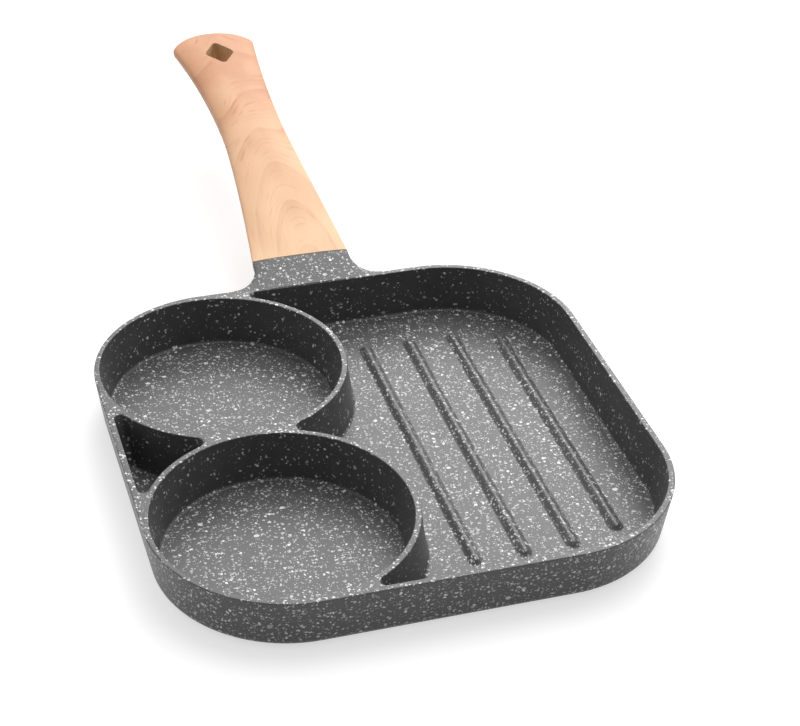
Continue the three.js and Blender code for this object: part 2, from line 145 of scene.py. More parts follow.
# Screw from below, with two washers between its head and the wood
SCREW_AT = 20 * MM
SEAT_WOOD = 2.2 * MM
WASHER_THICKNESS = 1 * MM
SPRING_THICKNESS = 1.2 * MM
HEAD_RADIUS = 4.75 * MM
HEAD_HEIGHT = 2.7 * MM
HEAD_TIP = 0.1
SHANK_RADIUS = 2.5 * MM
SHANK_LENGTH = 12 * MM
BORE_RADIUS = 5.5 * MM
RECESS = Vector((5, 1.1, 3)) * MM
SCREW_SEAT = TANG_TOP - TANG_THICKNESS - JOINT_GAP - SEAT_WOOD
SCREW_HEAD = SCREW_SEAT - WASHER_THICKNESS - SPRING_THICKNESS - 3 * JOINT_GAP

# Smoothness
CORNER_STEPS = 32
RING_STEPS = 48
POCKET_STEPS = 20
FILLET_STEPS = 8
ROUND_STEPS = 4
WELL_STEPS = 128
HANDLE_STEPS = 48
SCREW_STEPS = 48
CREASE = math.radians(35)

# Stone coat
COAT_DARK = (0.045, 0.045, 0.047, 1)
COAT_PALE = (0.085, 0.085, 0.088, 1)
FLECK_WHITE = (0.8, 0.8, 0.79, 1)
CLOUD_SIZE = 6 * MM
COAT_GRAIN = 0.35 * MM
COAT_ROUGHNESS = (0.36, 0.5)
COAT_BUMP = (0.15, 0.1 * MM)
GRAIN_RELIEF = 0.4
CHIP_SIZE = 1.1 * MM
CHIP_PULL = 1.3 * MM
FLECK_EDGE = 0.12 * MM
FLECK_DIMMEST = 0.3
# Share of flecks left on the steep inner walls of the hollows: painted shade there
SHADED_WALL_FLECKS = 0.3
STEEP_UPWARD = 0.25
LEVEL_UPWARD = 0.9

# White flecks in the coat: cell, share of cells with a fleck, smallest and largest radius, squeeze
FLECK_LAYERS = [
    (0.8 * MM, 0.55, 0.14 * MM, 0.32 * MM, (1, 1, 1)),
    (1.3 * MM, 0.6, 0.22 * MM, 0.5 * MM, (0.6, 1, 1)),
    (1.4 * MM, 0.6, 0.22 * MM, 0.5 * MM, (1, 0.6, 1)),
    (2.2 * MM, 0.45, 0.3 * MM, 0.65 * MM, (1, 1, 0.7)),
    (4.2 * MM, 0.22, 0.45 * MM, 0.8 * MM, (0.7, 1, 1)),
    (9 * MM, 0.14, 0.6 * MM, 1.0 * MM, (1, 0.7, 1)),
]

# Bare turned base and plated steel
BASE_DARK = (0.36, 0.36, 0.36, 1)
BASE_PALE = (0.62, 0.62, 0.62, 1)
TURN_LINE = 0.35 * MM
TURN_BAND = 2 * MM
BASE_ROUGHNESS = (0.32, 0.48)
BASE_BUMP = (0.35, 0.05 * MM)
STEEL_DARK = (0.55, 0.55, 0.56, 1)
STEEL_PALE = (0.7, 0.7, 0.7, 1)
SCUFF_SIZE = 0.4 * MM
STEEL_ROUGHNESS = (0.25, 0.4)
STEEL_BUMP = (0.1, 0.03 * MM)

# Wood: each pattern with its size and how it is drawn out along the grain
HEART_SIDE = 3 * MM
HEART_DEPTH = 8 * MM
HEART_SLANT = 0.16
RING_PITCH = 5 * MM
RING_SWAY = 4 * MM
RING_EDGE = 2.5
SWAY_SIZE = 26 * MM
SWAY_STRETCH = (1, 0.4, 1)
PATCH_SIZE = 9 * MM
PATCH_STRETCH = (1, 0.35, 1)
MOTTLE_SIZE = 18 * MM
MOTTLE_STRETCH = (1, 0.5, 1)
MOTTLE_SHARE = 1.2
DEEPEST_AT = 0.8 * HANDLE_LENGTH
FIBRE_SIZE = 0.6 * MM
FIBRE_STRETCH = (1, 0.06, 1)
FIBRE_SHARE = 0.25
STREAK_WIDTH = 0.4 * MM
STREAK_LENGTH = 11 * MM
WOOD_JOINT = (0.93, 0.62, 0.39, 1)
WOOD_TAIL = (0.57, 0.295, 0.165, 1)
WOOD_DARK = (0.66, 0.34, 0.2, 1)
WOOD_STREAK = (0.46, 0.16, 0.08, 1)
WOOD_SHINE = 0.3
WOOD_ROUGHNESS = (0.5, 0.64)
WOOD_BUMP = (0.1, 0.1 * MM)

# Wood patterns as shares: a low and a high value of the pattern, then the share at each
LATE_PATCHES = (0.35, 0.65, 0.1, 0.28)
STREAK_PATCHES = (0.36, 0.62, 0, 0.6)
STREAK_LINES = (0.56, 0.74, 0, 1)

# Wood shares at the joint and where the tone is deepest
TONE_ALONG = (-0.6, 0.4)
LATE_ALONG = (0.6, 1.8)
STREAK_ALONG = (0.25, 1.4)

# Cut wood in the hanging hole and the screw's bore
CUT_PALE = (0.72, 0.48, 0.27, 1)
CUT_DARK = (0.52, 0.34, 0.185, 1)
CUT_FIBRE = 0.7 * MM
CUT_STRETCH = (1, 1, 0.15)
CUT_ROUGHNESS = (0.6, 0.75)
CUT_BUMP = (0.2, 0.1 * MM)

# Camera, fitted to the rim, the base and the wells in the photograph
CAMERA_AIM = Vector((27.46, 57.13, 2.03)) * MM
CAMERA_DISTANCE = 801.54 * MM
CAMERA_AZIMUTH = math.radians(-18.23)
CAMERA_ELEVATION = math.radians(34.22)
CAMERA_ROLL = math.radians(1.97)
CAMERA_LENS = 90.94
CAMERA_SENSOR = 36
CAMERA_CLIP = 0.05

# Light: a floor that glows where it is seen, a sky bright behind and at the sides, and two lamps
FLOOR_SIZE = 8
FLOOR_DROP = 0.2 * MM
FLOOR_TONE = 0.5
FLOOR_CLOUD = 0.3
FLOOR_MOTTLE = 0.03
FLOOR_GLOW = 0.6
WORLD_DARK = 0.03
WORLD_LIGHT = 0.9
WORLD_TURN = -0.3
WORLD_TOWARD = (0.45, 0.7, 0.55)
WORLD_SIDES = 0.75
BACK_BOX = ((1.1, 2.3, 1.7), 2.0, 48)
TOP_BOX = ((0.5, 0.7, 2.6), 1.8, 32)

Arc = namedtuple("Arc", "x y radius begin end steps")
Step = namedtuple("Step", "out height")


def arc_point(arc, angle):
    return Vector((arc.x + arc.radius * math.cos(angle), arc.y + arc.radius * math.sin(angle)))


def take_up(piece):
    """Makes one piece the only selected one, and the active one."""
    bpy.ops.object.select_all(action="DESELECT")
    bpy.context.view_layer.objects.active = piece
    piece.select_set(True)


# Drawing and skinning outlines in edit mode

def new_piece(name):
    bpy.ops.object.select_all(action="DESELECT")
    bpy.ops.mesh.primitive_plane_add(size=MM)
    piece = bpy.context.object
    piece.name = name
    piece.data.name = name
    bpy.ops.object.mode_set(mode="EDIT")
    bpy.ops.mesh.select_mode(type="VERT")
    bpy.ops.mesh.delete(type="VERT")
    return piece


def draw_line(arcs, height):
    """Draws arcs, and the straight lines between them, as one chain of edges."""
    pen = arc_point(arcs[0], arcs[0].begin)
    bpy.ops.mesh.select_all(action="DESELECT")
    bpy.ops.mesh.primitive_plane_add(size=MM, location=(*pen, height))
    bpy.ops.mesh.merge(type="CENTER")
    for arc in arcs:
        run = arc_point(arc, arc.begin) - pen
        if run.length > TOUCH:
            bpy.ops.mesh.extrude_region_move(TRANSFORM_OT_translate={"value": (*run, 0)})
        bpy.ops.mesh.spin(
            steps=arc.steps,
            angle=arc.begin - arc.end,
            center=(arc.x, arc.y, height),
            axis=(0, 0, 1),
        )
        pen = arc_point(arc, arc.end)
    bpy.ops.mesh.select_linked()


def draw_outline(arcs, height):
    draw_line(arcs, height)
    bpy.ops.mesh.remove_doubles(threshold=TOUCH)
    bpy.ops.mesh.edge_face_add()
    bpy.ops.mesh.delete(type="ONLY_FACE")


def skin_wall(name, outline, profile):
    """Draws an outline at each step of a profile and skins the loops."""
    wall = new_piece(name)
    for step in profile:
        draw_outline(outline(-step.out), step.height)
    bpy.ops.mesh.select_all(action="SELECT")
    bpy.ops.mesh.bridge_edge_loops(type="SINGLE")
    bpy.ops.object.mode_set(mode="OBJECT")
    return wall


def turn_wall(name, x, y, radius, profile):
    """Pulls a circle through the steps of a profile."""
    wall = new_piece(name)
    first = profile[0]
    bpy.ops.mesh.primitive_circle_add(
        vertices=WELL_STEPS,
        radius=radius + first.out,
        location=(x, y, first.height),
    )
    for last, step in zip(profile, profile[1:]):
        lift = (0, 0, step.height - last.height)
        bpy.ops.mesh.extrude_region_move(TRANSFORM_OT_translate={"value": lift})
        share = (radius + step.out) / (radius + last.out)
        bpy.ops.transform.resize(value=(share, share, 1), center_override=(x, y, step.height))
    bpy.ops.object.mode_set(mode="OBJECT")
    return wall


def join_pieces(pieces):
    bpy.ops.object.select_all(action="DESELECT")
    for piece in pieces:
        piece.select_set(True)
    bpy.context.view_layer.objects.active = pieces[0]
    bpy.ops.object.join()
    return pieces[0]


def select_edges(chosen):
    """Selects the edges that a test picks, in edit mode."""
    bpy.ops.mesh.select_mode(type="EDGE")
    bpy.ops.mesh.select_all(action="DESELECT")
    mesh = bmesh.from_edit_mesh(bpy.context.object.data)
    for edge in mesh.edges:
        edge.select_set(chosen(edge))
    bmesh.update_edit_mesh(bpy.context.object.data)


def fill_level(height):
    """Closes the flat ground between all the open loops at one height."""

    def open_there(edge):
        level = all(abs(vert.co.z - height) < 10 * TOUCH for vert in edge.verts)
        return edge.is_boundary and level

    select_edges(open_there)
    bpy.ops.mesh.fill(use_beauty=True)


def close_piece():
    bpy.ops.mesh.reveal()
    bpy.ops.mesh.select_mode(type="VERT")
    bpy.ops.mesh.select_all(action="SELECT")
    bpy.ops.mesh.remove_doubles(threshold=TOUCH)
    bpy.ops.mesh.fill_holes(sides=0)
    bpy.ops.mesh.select_all(action="SELECT")
    bpy.ops.mesh.normals_make_consistent(inside=False)
    bpy.ops.object.mode_set(mode="OBJECT")


def combine(piece, tool, operation):
    """Joins a tool to a piece, cuts it out or keeps what they share, and throws the tool away."""
    boolean = piece.modifiers.new("join", "BOOLEAN")
    boolean.operation = operation
    boolean.solver = "EXACT"
    boolean.object = tool
    take_up(piece)
    bpy.ops.object.modifier_apply(modifier=boolean.name)
    bpy.data.objects.remove(tool)


def apply_place(piece, location, turn):
    take_up(piece)
    piece.location = location
    piece.rotation_euler = (turn, 0, 0)
    bpy.ops.object.transform_apply(location=True, rotation=True, scale=True)


# Profiles of the drafted walls

def arc_steps(out, height, radius, begin, end, steps):
    found = []
    for i in range(steps + 1):
        angle = begin + (end - begin) * i / steps
        found.append(Step(out + radius * math.cos(angle), height + radius * math.sin(angle)))
    return found


def foot_steps(bottom, radius, steps):
    height = bottom + radius
    wall_height = height - radius * math.sin(WALL_DRAFT)
    wall_out = -(PAN_TOP - wall_height) * math.tan(WALL_DRAFT)
    out = wall_out - radius * math.cos(WALL_DRAFT)
    return arc_steps(out, height, radius, -math.pi / 2, -WALL_DRAFT, steps)


def outer_profile():
    height = PAN_TOP - RIM_ROUND
    wall_height = height - RIM_ROUND * math.sin(WALL_DRAFT)
    out = -(PAN_TOP - wall_height) * math.tan(WALL_DRAFT) - RIM_ROUND * math.cos(WALL_DRAFT)
    rim = arc_steps(out, height, RIM_ROUND, -WALL_DRAFT, math.pi / 2, ROUND_STEPS)
    return foot_steps(PAD_HEIGHT, BASE_FILLET, FILLET_STEPS) + rim


def hollow_profile():
    height = PAN_TOP - RIM_ROUND
    wall_height = height + RIM_ROUND * math.sin(WALL_DRAFT)
    out = -(PAN_TOP - wall_height) * math.tan(WALL_DRAFT) + RIM_ROUND * math.cos(WALL_DRAFT)
    mouth = arc_steps(out, height, RIM_ROUND, math.pi - WALL_DRAFT, math.pi / 2, ROUND_STEPS)
    return foot_steps(FLOOR_TOP, FLOOR_FILLET, ROUND_STEPS) + mouth


# Plan outlines, each moved inwards by an inset

def pan_outline(inset):
    middle = PAN_HALF - CORNER_RADIUS
    radius = CORNER_RADIUS - inset
    quarter = math.pi / 2
    return [
        Arc(middle, -middle, radius, -quarter, 0, CORNER_STEPS),
        Arc(middle, middle, radius, 0, quarter, CORNER_STEPS),
        Arc(-middle, middle, radius, quarter, 2 * quarter, CORNER_STEPS),
        Arc(-middle, -middle, radius, 2 * quarter, 3 * quarter, CORNER_STEPS),
    ]


def griddle_outline(inset):
    middle = PAN_HALF - CORNER_RADIUS
    corner = CORNER_RADIUS - RIM_WALL - inset
    ring = RING_RADIUS + inset
    tip_y = PAN_HALF - RIM_WALL - inset - TIP_FILLET
    tip_x = WELL_X + math.sqrt((ring + TIP_FILLET) ** 2 - (tip_y - WELL_Y) ** 2)
    web_x = WELL_X + math.sqrt((ring + WEB_FILLET) ** 2 - WELL_Y ** 2)
    tip = math.atan2(tip_y - WELL_Y, tip_x - WELL_X)
    web = math.atan2(-WELL_Y, web_x - WELL_X)
    quarter = math.pi / 2
    return [
        Arc(middle, -middle, corner, -quarter, 0, CORNER_STEPS),
        Arc(middle, middle, corner, 0, quarter, CORNER_STEPS),
        Arc(tip_x, tip_y, TIP_FILLET, quarter, math.pi + tip, FILLET_STEPS),
        Arc(WELL_X, WELL_Y, ring, tip, web, RING_STEPS),
        Arc(web_x, 0, WEB_FILLET, math.pi + web, math.pi - web, FILLET_STEPS),
        Arc(WELL_X, -WELL_Y, ring, -web, -tip, RING_STEPS),
        Arc(tip_x, -tip_y, TIP_FILLET, math.pi - tip, 3 * quarter, FILLET_STEPS),
    ]


def pocket_outline(inset):
    ring = RING_RADIUS + inset
    tip_x = -(PAN_HALF - RIM_WALL - inset - TIP_FILLET)
    tip_y = WELL_Y - math.sqrt((ring + TIP_FILLET) ** 2 - (tip_x - WELL_X) ** 2)
    web_x = WELL_X - math.sqrt((ring + WEB_FILLET) ** 2 - WELL_Y ** 2)
    tip = math.atan2(WELL_Y - tip_y, WELL_X - tip_x)
    web = math.atan2(WELL_Y, WELL_X - web_x)
    return [
        Arc(tip_x, tip_y, TIP_FILLET, tip, math.pi, FILLET_STEPS),
        Arc(tip_x, -tip_y, TIP_FILLET, math.pi, 2 * math.pi - tip, FILLET_STEPS),
        Arc(WELL_X, -WELL_Y, ring, math.pi - tip, math.pi - web, POCKET_STEPS),
        Arc(web_x, 0, WEB_FILLET, -web, web, FILLET_STEPS),
        Arc(WELL_X, WELL_Y, ring, math.pi + web, math.pi + tip, POCKET_STEPS),
    ]


def rib_outline(x, half_length):
    reach = half_length - RIB_HALF_WIDTH

    def outline(inset):
        radius = RIB_HALF_WIDTH - inset
        return [
            Arc(x, reach, radius, 0, math.pi, FILLET_STEPS),
            Arc(x, -reach, radius, math.pi, 2 * math.pi, FILLET_STEPS),
        ]

    return outline


def rib_profile():
    """A flank that leaves the floor gently and rounds over gently into the crest."""
    steps = []
    for i in range(FILLET_STEPS + 1):
        part = i / FILLET_STEPS
        rise = (1 - math.cos(math.pi * part)) / 2
        steps.append(Step(-RIB_SLOPE * part, FLOOR_TOP + RIB_HEIGHT * rise))
    return steps


def pad_profile():
    """The pad's edge, and its underside with a shallow groove at each turned ring."""
    steps = [Step(0, PAD_HEIGHT), Step(-PAD_EDGE, 0)]
    rings = int(PAD_RADIUS / TURN_PITCH)
    for i in range(1, rings):
        out = -i * TURN_PITCH
        steps.append(Step(out + TURN_HALF_WIDTH, 0))
        steps.append(Step(out, TURN_DEPTH))
        steps.append(Step(out - TURN_HALF_WIDTH, 0))
    return steps


# Sections of the neck and the handle: a flat crown towards -Y and a round belly towards +Y

def select_level(height, side):
    """Selects the points at one height, all of them or those on one side of the XZ plane."""
    bpy.ops.mesh.select_all(action="DESELECT")
    mesh = bmesh.from_edit_mesh(bpy.context.object.data)
    for vert in mesh.verts:
        level = abs(vert.co.z - height) < TOUCH
        vert.select_set(level and (side == 0 or side * vert.co.y > TOUCH))
    bmesh.update_edit_mesh(bpy.context.object.data)


def draw_section(half_width, crown, belly, height):
    """Draws a unit round with a squarer crown half, then stretches each half to its size."""
    corner = CROWN_CORNER
    flat = 1 - corner
    quarter = math.pi / 2
    draw_outline(
        [
            Arc(0, 0, 1, 0, 2 * quarter, 4 * FILLET_STEPS),
            Arc(-flat, -flat, corner, 2 * quarter, 3 * quarter, 2 * FILLET_STEPS),
            Arc(flat, -flat, corner, 3 * quarter, 4 * quarter, 2 * FILLET_STEPS),
        ],
        height,
    )
    for side, scale in ((1, (1, belly, 1)), (-1, (1, crown, 1)), (0, (half_width, 1, 1))):
        select_level(height, side)
        bpy.ops.transform.resize(value=scale, center_override=(0, 0, height))


def skin_sections():
    bpy.ops.mesh.select_all(action="SELECT")
    bpy.ops.mesh.remove_doubles(threshold=TOUCH)
    bpy.ops.mesh.bridge_edge_loops(type="SINGLE")
    close_piece()


def on_joint(point):
    """A point of the handle's own frame, whose Y runs along the handle and Z up, in the pan's frame."""
    return JOINT + Matrix.Rotation(RISE, 3, "X") @ Vector(point)


# Casting

def neck_ring(half_width, top, edge, bottom):
    ring = new_piece("neck_ring")
    draw_section(half_width, (top - edge).length, (bottom - edge).length, 0)
    bpy.ops.object.mode_set(mode="OBJECT")
    lean = math.atan2(bottom.y - top.y, top.z - bottom.z)
    apply_place(ring, edge, lean - math.pi / 2)
    return ring


def make_neck():
    """Lofts the neck from inside the pan wall to the handle's section, with a fillet where it flares."""
    half_width, crown, belly = HALF_WIDTHS[0], CROWNS[0], BELLIES[0]
    root = [Vector((0, PAN_HALF - RIM_WALL, height)) for height in (PAN_TOP, PAN_TOP - crown, NECK_FOOT)]
    joint = [on_joint((0, 0, height)) for height in (crown, 0, -belly)]
    slant = Vector((0, math.sin(WALL_DRAFT), math.cos(WALL_DRAFT)))
    heel = Vector((0, PAN_HALF - NECK_ROOT, PAN_TOP + NECK_STEP))
    rings = [
        neck_ring(
            half_width + NECK_FILLET,
            heel,
            heel - slant * crown,
            heel - slant * (PAN_TOP - NECK_FOOT),
        )
    ]
    fillet = arc_steps(NECK_FILLET, 0, NECK_FILLET, math.pi, math.pi / 2, FILLET_STEPS)
    for step in fillet + [Step(NECK_REACH, NECK_FILLET)]:
        share = (step.out + RIM_WALL) / (NECK_REACH + RIM_WALL)
        points = [near.lerp(far, share) for near, far in zip(root, joint)]
        rings.append(neck_ring(half_width + NECK_FILLET - step.height, *points))
    neck = join_pieces(rings)
    bpy.ops.object.mode_set(mode="EDIT")
    skin_sections()
    return neck


def make_bar(name, size, top, round_edge):
    """A bar along the handle with rounded long edges, its top at a height in the handle's frame."""
    bpy.ops.object.select_all(action="DESELECT")
    bpy.ops.mesh.primitive_cube_add(size=1)
    bar = bpy.context.object
    bar.name = name
    bpy.ops.object.mode_set(mode="EDIT")
    bpy.ops.transform.resize(value=size)
    select_edges(lambda edge: abs(edge.verts[0].co.y - edge.verts[1].co.y) > TOUCH)
    bpy.ops.mesh.bevel(offset=round_edge, segments=ROUND_STEPS, affect="EDGES")
    bpy.ops.object.mode_set(mode="OBJECT")
    apply_place(bar, on_joint((0, size.y / 2 - TANG_ROOT, top - size.z / 2)), RISE)
    return bar


def make_pin(name, radius, low, high):
    """A round bar at the screw's place, between two heights in the handle's frame."""
    bpy.ops.object.select_all(action="DESELECT")
    bpy.ops.mesh.primitive_cylinder_add(vertices=SCREW_STEPS, radius=radius, depth=high - low)
    pin = bpy.context.object
    pin.name = name
    apply_place(pin, on_joint((0, SCREW_AT, (low + high) / 2)), RISE)
    return pin


def make_casting():
    walls = [
        skin_wall("speckled_pan", pan_outline, outer_profile()),
        skin_wall("griddle", griddle_outline, hollow_profile()),
        skin_wall("pocket", pocket_outline, hollow_profile()),
        turn_wall("pad", 0, 0, PAD_RADIUS, pad_profile()),
    ]
    for side in (-1, 1):
        walls.append(turn_wall("well", WELL_X, side * WELL_Y, WELL_RADIUS, hollow_profile()))
    for i in range(RIB_COUNT):
        end_gap = LAST_RIB_END_GAP if i == RIB_COUNT - 1 else RIB_END_GAP
        half_length = PAN_WIDTH / 2 - RIM_WALL - end_gap
        outline = rib_outline(FIRST_RIB_X + i * RIB_PITCH, half_length)
        walls.append(skin_wall("rib", outline, rib_profile()))
    casting = join_pieces(walls)
    bpy.ops.object.mode_set(mode="EDIT")
    for level in (PAN_TOP, FLOOR_TOP, PAD_HEIGHT):
        fill_level(level)
    close_piece()
    combine(casting, make_neck(), "UNION")
    combine(casting, make_bar("tang", TANG, TANG_TOP, TANG_ROUND), "UNION")
    combine(casting, make_pin("tapped_hole", SHANK_RADIUS + JOINT_GAP, SCREW_SEAT, 0), "DIFFERENCE")
    return casting


# Handle

def along_handle(along, sizes):
    """A size at a place along the handle, drawn in from the joint to the waist and out to the tail."""
    joint, waist, tail = sizes
    before = max(0, (WAIST_AT - along) / WAIST_AT)
    after = max(0, (along - WAIST_AT) / (HANDLE_LENGTH - TAIL_BOW - WAIST_AT))
    return waist + (joint - waist) * before ** JOINT_FLARE + (tail - waist) * after ** TAIL_FLARE


def make_blank():
    blank = new_piece("wooden_handle")
    for i in range(HANDLE_STEPS + 1):
        along = JOINT_GAP + (HANDLE_LENGTH - JOINT_GAP) * i / HANDLE_STEPS
        sizes = [along_handle(along, line) for line in (HALF_WIDTHS, CROWNS, BELLIES)]
        draw_section(*sizes, along)
    skin_sections()
    return blank


def tail_outline(inset):
    """Plan of the bowed tail, closed by a wide curve well behind the joint."""
    half_width = HALF_WIDTHS[2]
    radius = (half_width ** 2 + TAIL_BOW ** 2) / (2 * TAIL_BOW)
    sweep = TAIL_OVERREACH * math.asin(half_width / radius)
    middle = math.pi / 2
    return [
        Arc(0, HANDLE_LENGTH - radius, radius - inset, middle - sweep, middle + sweep, RING_STEPS),
        Arc(0, WAIST_AT / 2, 2 * WAIST_AT, math.pi, 2 * math.pi, FILLET_STEPS),
    ]


def hole_outline(inset):
    """A rhombus with rounded corners, long along the handle."""
    tilt = math.atan2(HOLE_HALF.x, HOLE_HALF.y)
    side_round = HOLE_ROUND / math.tan(tilt)
    end_round = HOLE_ROUND * math.tan(tilt)
    side_x = HOLE_HALF.x - side_round / math.cos(tilt)
    end_y = HOLE_HALF.y - end_round / math.sin(tilt)
    middle = HANDLE_LENGTH - HOLE_FROM_END
    return [
        Arc(side_x, middle, side_round - inset, -tilt, tilt, FILLET_STEPS),
        Arc(0, middle + end_y, end_round - inset, tilt, math.pi - tilt, FILLET_STEPS),
        Arc(-side_x, middle, side_round - inset, math.pi - tilt, math.pi + tilt, FILLET_STEPS),
        Arc(0, middle - end_y, end_round - inset, math.pi + tilt, 2 * math.pi - tilt, FILLET_STEPS),
    ]


def make_cutter(outline):
    """A tall block with a plan outline, stood along the unbent handle."""
    reach = 2 * BELLIES[0]
    cutter = skin_wall("cutter", outline, [Step(0, -reach), Step(0, reach)])
    bpy.ops.object.mode_set(mode="EDIT")
    close_piece()
    apply_place(cutter, (0, 0, 0), math.pi / 2)
    return cutter


def crisp_at_tail(edge):
    beyond_waist = all(vert.co.z > WAIST_AT for vert in edge.verts)
    return beyond_waist and edge.calc_face_angle(0) > CRISP_EDGE


def round_cut_edges(piece):
    """Rounds the crisp edges that the tail and the hanging hole leave."""
    take_up(piece)
    bpy.ops.object.mode_set(mode="EDIT")
    select_edges(crisp_at_tail)
    bpy.ops.mesh.bevel(offset=EDGE_ROUND, segments=ROUND_STEPS, affect="EDGES", clamp_overlap=True)
    bpy.ops.object.mode_set(mode="OBJECT")


def arch(piece):
    """Bends the straight handle down towards its tail."""
    bend = piece.modifiers.new("arch", "SIMPLE_DEFORM")
    bend.deform_method = "BEND"
    bend.deform_axis = "X"
    heights = [vert.co.z for vert in piece.data.vertices]
    bend.angle = (max(heights) - min(heights)) / ARCH_RADIUS
    take_up(piece)
    bpy.ops.object.modifier_apply(modifier=bend.name)


def make_handle():
    handle = make_blank()
    combine(handle, make_cutter(tail_outline), "INTERSECT")
    combine(handle, make_cutter(hole_outline), "DIFFERENCE")
    round_cut_edges(handle)
    arch(handle)
    apply_place(handle, JOINT, RISE - math.pi / 2)
    gap = Vector((2, 1, 2)) * JOINT_GAP
    mortise = make_bar("mortise", TANG + gap, TANG_TOP + JOINT_GAP, TANG_ROUND)
    combine(handle, mortise, "DIFFERENCE")
    combine(handle, make_pin("counterbore", BORE_RADIUS, -2 * BELLIES[0], SCREW_SEAT), "DIFFERENCE")
    tip = SCREW_HEAD + SHANK_LENGTH + JOINT_GAP
    hole = make_pin("screw_hole", SHANK_RADIUS + JOINT_GAP, SCREW_SEAT - JOINT_GAP, tip)
    combine(handle, hole, "DIFFERENCE")
    bpy.ops.object.mode_set(mode="EDIT")
    close_piece()
    return handle


# Screw

def screw_profile():
    dome = arc_steps(0, 0, 1, -math.pi / 2 + HEAD_TIP, 0, FILLET_STEPS)
    steps = [Step(step.out * HEAD_RADIUS, SCREW_HEAD + step.height * HEAD_HEIGHT) for step in dome]
    tip = SCREW_HEAD + SHANK_LENGTH
    steps.append(Step(SHANK_RADIUS, SCREW_HEAD))
    steps.append(Step(SHANK_RADIUS, tip - JOINT_GAP))
    steps.append(Step(SHANK_RADIUS - JOINT_GAP, tip))
    return steps


def make_screw():
    screw = turn_wall("cross_head_screw", 0, 0, 0, screw_profile())
    bpy.ops.object.mode_set(mode="EDIT")
    close_piece()
    for size in (RECESS, RECESS.yxz):
        bpy.ops.object.select_all(action="DESELECT")
        bpy.ops.mesh.primitive_cube_add(size=1, location=(0, 0, SCREW_HEAD - HEAD_HEIGHT), scale=size)
        combine(screw, bpy.context.object, "DIFFERENCE")
    apply_place(screw, on_joint((0, SCREW_AT, 0)), RISE)
    return screw


# Material nodes

def new_material(name):
    material = bpy.data.materials.new(name)
    material.use_nodes = True
    material.node_tree.nodes.clear()
    return material, material.node_tree


def add_node(tree, kind, inputs, **settings):
    node = tree.nodes.new("ShaderNode" + kind)
    for name, value in settings.items():
        setattr(node, name, value)
    for name, value in inputs.items():
        if isinstance(value, bpy.types.NodeSocket):
            tree.links.new(value, node.inputs[name])
        else:
            node.inputs[name].default_value = value
    return node


def reckon(tree, operation, *values, clamp=False):
    return add_node(tree, "Math", dict(enumerate(values)), operation=operation, use_clamp=clamp).outputs[0]


def shift(tree, operation, first, second):
    return add_node(tree, "VectorMath", {0: first, 1: second}, operation=operation).outputs[0]


def blend(tree, share, first, second):
    mix = add_node(tree, "Mix", {0: share, 6: first, 7: second}, data_type="RGBA")
    return mix.outputs[2]


def span(tree, value, low, high, new_low, new_high):
    limits = {"Value": value, "From Min": low, "From Max": high, "To Min": new_low, "To Max": new_high}
    return add_node(tree, "MapRange", limits).outputs[0]


def spread(tree, grain, low, high):
    """Spreads a noise, which keeps near its middle, over a range."""
    return span(tree, grain, 0.3, 0.7, low, high)


def noise(tree, place, size, detail=2.0):
    inputs = {"Vector": place, "Scale": 1 / size, "Detail": detail}
    return add_node(tree, "TexNoise", inputs)


def object_place(tree):
    return add_node(tree, "TexCoord", {}).outputs["Object"]


def pull_about(tree, place, cloud, reach):
    """Moves each point of a pattern by a noise, up to about half the reach each way."""
    wander = shift(tree, "SUBTRACT", cloud.outputs["Color"], (0.5, 0.5, 0.5))
    pull = add_node(tree, "VectorMath", {0: wander, "Scale": reach}, operation="SCALE").outputs[0]
    return shift(tree, "ADD", place, pull)


def roughen(tree, height, strength, depth):
    inputs = {"Height": height, "Strength": strength, "Distance": depth}
    return add_node(tree, "Bump", inputs).outputs[0]


def finish_surface(tree, inputs):
    surface = add_node(tree, "BsdfPrincipled", inputs)
    add_node(tree, "OutputMaterial", {"Surface": surface.outputs[0]})


# Finishes

def flecks_thinned_in_shade(tree):
    """The share of flecks kept: fewer on the steep inner walls, which face up a little, as painted shade on
    these shaded walls; the outer walls keep all of theirs.
    """
    facing = add_node(tree, "TexCoord", {}).outputs["Normal"]
    upward = add_node(tree, "SeparateXYZ", {"Vector": facing}).outputs[2]
    outer = reckon(tree, "LESS_THAN", upward, 0)
    return reckon(tree, "MAXIMUM", outer, span(tree, upward, STEEP_UPWARD, LEVEL_UPWARD, SHADED_WALL_FLECKS, 1))


def flecks(tree, place, kept, cell, share, small, large, squeeze):
    """Flecks of one size range: how white they are, from 0 between them to 1 on the brightest."""
    squeezed = shift(tree, "MULTIPLY", place, squeeze)
    cells = add_node(tree, "TexVoronoi", {"Vector": squeezed, "Scale": 1 / cell})
    draw = add_node(tree, "SeparateColor", {"Color": cells.outputs["Color"]})
    present = reckon(tree, "LESS_THAN", draw.outputs[0], reckon(tree, "MULTIPLY", kept, share))
    radius = span(tree, draw.outputs[1], 0, 1, small / cell, large / cell)
    inside = reckon(tree, "SUBTRACT", radius, cells.outputs["Distance"])
    body = reckon(tree, "MULTIPLY", inside, cell / FLECK_EDGE, clamp=True)
    bright = span(tree, draw.outputs[2], 0, 1, FLECK_DIMMEST, 1)
    return reckon(tree, "MULTIPLY", reckon(tree, "MULTIPLY", body, present), bright)


def ragged_place(tree, place):
    """Pulls points about, so that flecks come out as chips and dashes and not as dots."""
    return pull_about(tree, place, noise(tree, place, CHIP_SIZE), CHIP_PULL)


